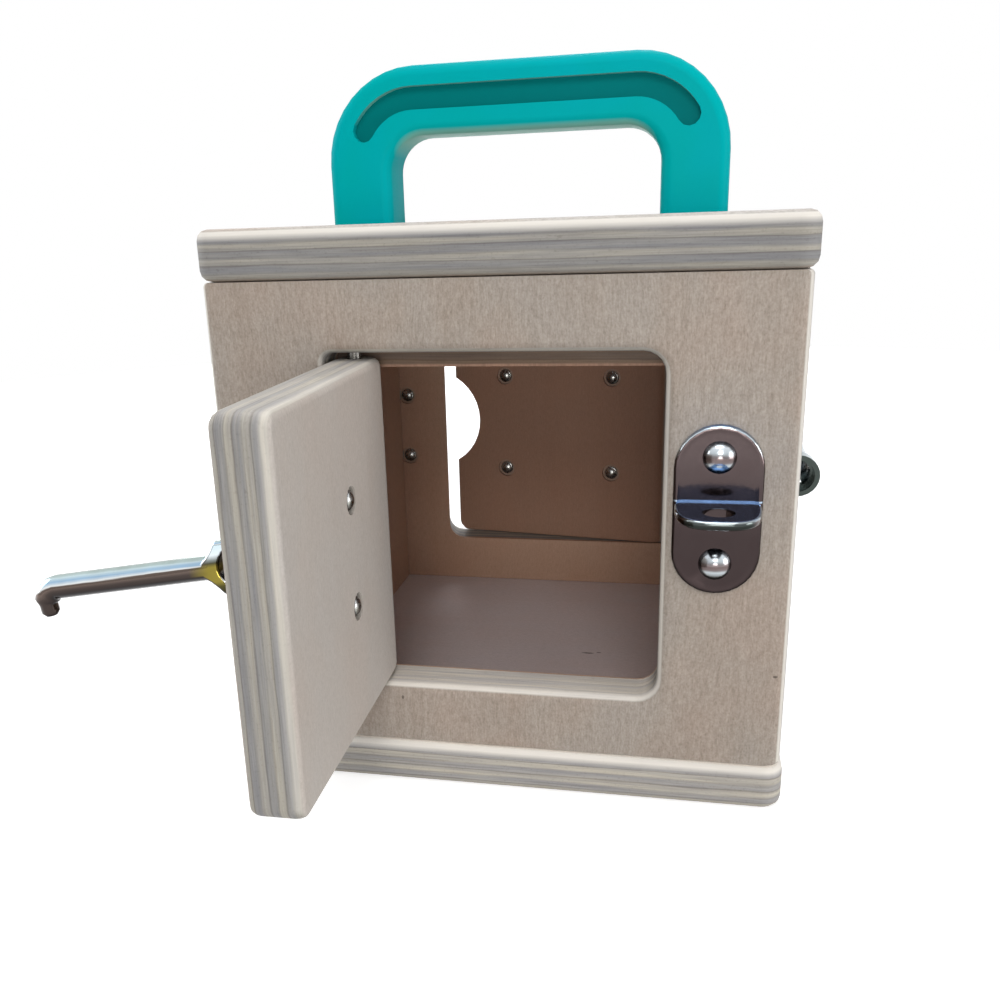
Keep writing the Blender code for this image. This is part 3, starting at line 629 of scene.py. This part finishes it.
# Painted reflections on bright metal, from faces that look down to ones that look up: painted shade, then greyer,
# then painted highlights
plate_bands = [
    (-1.0, rgb(34, 32, 34)),
    (-0.4, rgb(46, 42, 43)),
    (-0.15, rgb(60, 51, 50)),
    (0.0, rgb(80, 70, 70)),
    (0.15, rgb(104, 91, 91)),
    (0.4, rgb(206, 216, 222)),
    (0.85, rgb(160, 182, 208)),
    (0.95, rgb(138, 174, 228)),
    (1.0, rgb(128, 172, 230)),
]
dome_bands = [
    (-1.0, rgb(36, 38, 42)),
    (-0.66, rgb(56, 58, 60)),
    (-0.5, rgb(150, 156, 160)),
    (-0.34, rgb(184, 192, 197)),
    (-0.18, rgb(118, 108, 108)),
    (0.0, rgb(104, 91, 90)),
    (0.16, rgb(128, 122, 123)),
    (0.36, rgb(188, 197, 203)),
    (0.62, rgb(214, 222, 229)),
    (0.85, rgb(150, 160, 170)),
    (1.0, rgb(110, 120, 132)),
]
rivet_bands = [
    (-1.0, rgb(72, 72, 70)),
    (-0.4, rgb(110, 110, 106)),
    (0.0, rgb(160, 160, 154)),
    (0.4, rgb(206, 208, 208)),
    (1.0, rgb(196, 202, 206)),
]
hook_bands = [
    (-1.0, rgb(24, 22, 24)),
    (-0.6, rgb(38, 35, 36)),
    (-0.1, rgb(68, 60, 57)),
    (0.26, rgb(106, 93, 86)),
    (0.34, rgb(240, 243, 243)),
    (0.44, rgb(206, 220, 230)),
    (0.62, rgb(158, 190, 218)),
    (0.84, rgb(204, 224, 229)),
    (1.0, rgb(160, 178, 172)),
]
barrel_bands = [
    (-1.0, rgb(26, 28, 28)),
    (-0.4, rgb(64, 68, 68)),
    (-0.1, rgb(116, 121, 121)),
    (0.15, rgb(142, 147, 148)),
    (0.3, rgb(206, 214, 218)),
    (0.6, rgb(160, 180, 198)),
    (0.85, rgb(208, 220, 226)),
    (1.0, rgb(150, 165, 172)),
]
steel_bands = [(-1.0, rgb(70, 68, 66)), (0.0, rgb(112, 110, 106)), (1.0, rgb(176, 176, 174))]
plate_chrome = metal("plate_chrome", plate_bands, 0.11, 0.45)
barrel_chrome = metal("barrel_chrome", barrel_bands, 0.13, 0.25, paint=barrel_painted_reflection)
rivet_chrome = metal("rivet_chrome", rivet_bands, 0.27)
dome_chrome = metal("dome_chrome", dome_bands, 0.2, 0.2)
steel = metal("steel", steel_bands, 0.25)
handle_look = teal()
finishes = {
    "eye_plate": metal("eye_chrome", plate_bands, 0.11, 0.45, paint=eye_painted_light),
    "eye_plate_lower_rivet": dome_chrome,
    "eye_plate_upper_rivet": dome_chrome,
    "hook": metal("hook_chrome", hook_bands, 0.12, 0.2, paint=fork_painted_light),
}
rivet_outs = {
    "eye": FRONT,
    "hook": front_out,
    "back_bolt": back_out,
    "back_keeper": BACK,
    "right": RIGHT,
}
slots = {entry["node"]: entry["material_slot"] for entry in frame["record"]["subparts"]}
for node, obj in nodes.items():
    slot = slots[node]
    smooth(obj, WOOD_SPLIT if slot == "plywood" else METAL_SPLIT)
    if "rivet" in node:
        outward = next(out for start, out in rivet_outs.items() if node.startswith(start))
        rivet_cap(node, outward, rivet_chrome)
    if node in finishes:
        wear(obj, finishes[node])
    elif "rivet" in node:
        wear(obj, rivet_chrome)
    elif slot == "chrome":
        wear(obj, plate_chrome if node.endswith("_plate") else barrel_chrome)
    elif slot == "steel":
        wear(obj, steel)
    elif slot == "teal_plastic":
        wear(obj, handle_look)


def camera():
    """The photograph's camera."""
    lens = bpy.data.cameras.new("photo_camera")
    obj = bpy.data.objects.new("photo_camera", lens)
    bpy.context.scene.collection.objects.link(obj)
    yaw, pitch, roll = (math.radians(angle) for angle in (CAMERA_YAW, CAMERA_PITCH, CAMERA_ROLL))
    level_ahead = Vector((math.sin(yaw), math.cos(yaw), 0))
    ahead = level_ahead * math.cos(pitch) + UP * math.sin(pitch)
    right = Vector((math.cos(yaw), -math.sin(yaw), 0))
    up = right.cross(ahead)
    turn = Matrix((right, up, -ahead)).transposed() @ Matrix.Rotation(roll, 3, "Z")
    obj.matrix_world = Matrix.Translation(CAMERA_AT) @ turn.to_4x4()
    lens.sensor_width = SENSOR
    lens.lens = FOCAL * SENSOR
    lens.shift_x = 0.5 - CENTRE[0]
    lens.shift_y = CENTRE[1] - 0.5
    lens.clip_start = NEAREST
    bpy.context.scene.camera = obj


def seen_directly(g):
    """1 for rays that show the background itself: from the camera, in a mirror or through glass."""
    rays = g.tree.nodes.new("ShaderNodeLightPath")
    seen = g.math("MAXIMUM", rays.outputs["Is Camera Ray"], rays.outputs["Is Glossy Ray"])
    return g.math("MAXIMUM", seen, rays.outputs["Is Transmission Ray"])


def studio():
    """A pale floor, a white surround and soft lamps."""
    turns = [2 * math.pi * step / FLOOR_SIDES for step in range(FLOOR_SIDES)]
    rim = [(FLOOR_R * math.cos(turn), FLOOR_R * math.sin(turn), 0) for turn in turns]
    mesh = bpy.data.meshes.new("floor")
    mesh.from_pydata(rim, [], [list(range(FLOOR_SIDES))])
    floor = bpy.data.objects.new("floor", mesh)
    bpy.context.scene.collection.objects.link(floor)
    made, g = material("floor_paper")
    lit = g.add("ShaderNodeBsdfDiffuse", {"Color": (FLOOR_GREY, FLOOR_GREY, FLOOR_GREY, 1)})
    place = g.add("ShaderNodeTexCoord", output="Object")
    spread = g.add("ShaderNodeVectorMath", {0: place}, output=1, operation="LENGTH")
    white = g.math("MULTIPLY", seen_directly(g), g.span(spread, *FLOOR_FADE, *FLOOR_GLOW))
    glow = g.add("ShaderNodeEmission", {"Color": (1, 1, 1, 1), "Strength": white})
    whole = g.add("ShaderNodeAddShader", {0: lit, 1: glow})
    g.add("ShaderNodeOutputMaterial", {"Surface": whole})
    mesh.materials.append(made)

    world = bpy.data.worlds.new("studio")
    world.use_nodes = True
    bpy.context.scene.world = world
    g = Graph(world.node_tree)
    soft = g.add("ShaderNodeBackground", {"Color": (0.98, 0.99, 1.0, 1), "Strength": SOFT_LIGHT})
    white = g.add("ShaderNodeBackground", {"Color": (1, 1, 1, 1), "Strength": 1.0})
    shown = g.add("ShaderNodeMixShader", {0: seen_directly(g), 1: soft, 2: white})
    g.add("ShaderNodeOutputWorld", {"Surface": shown})

    # Soft round lamps: name, place in metres, width, watts and colour
    lamps = (
        ("key", (0.10, -0.92, 0.70), 0.5, 3.7, (1.0, 0.985, 0.97)),
        ("front_fill", (0.10, -0.85, 0.07), 0.3, 1.75, (1.0, 0.985, 0.965)),
        ("right_fill", (0.95, -0.25, 0.20), 0.6, 4.2, (1.0, 0.99, 0.985)),
        ("overhead", (0.0, -0.1, 1.05), 0.8, 5.0, (0.98, 0.99, 1.0)),
        ("back_fill", (-0.30, 0.95, 0.30), 0.8, 3.4, (0.98, 0.99, 1.0)),
        ("back_top", (0.0, 0.55, 0.90), 0.35, 2.4, (0.98, 0.99, 1.0)),
        ("left_fill", (-0.95, 0.05, 0.35), 0.6, 3.4, (0.99, 0.99, 1.0)),
    )
    for name, place, wide, power, colour in lamps:
        lamp = bpy.data.lights.new(name, "AREA")
        lamp.shape = "DISK"
        lamp.size = wide
        lamp.energy = power
        lamp.color = colour
        obj = bpy.data.objects.new(name, lamp)
        bpy.context.scene.collection.objects.link(obj)
        aim = Vector(LAMP_AIM) - Vector(place)
        turn = aim.to_track_quat("-Z", "Y").to_matrix().to_4x4()
        obj.matrix_world = Matrix.Translation(place) @ turn


camera()
studio()
bpy.context.scene.view_settings.view_transform = "Standard"
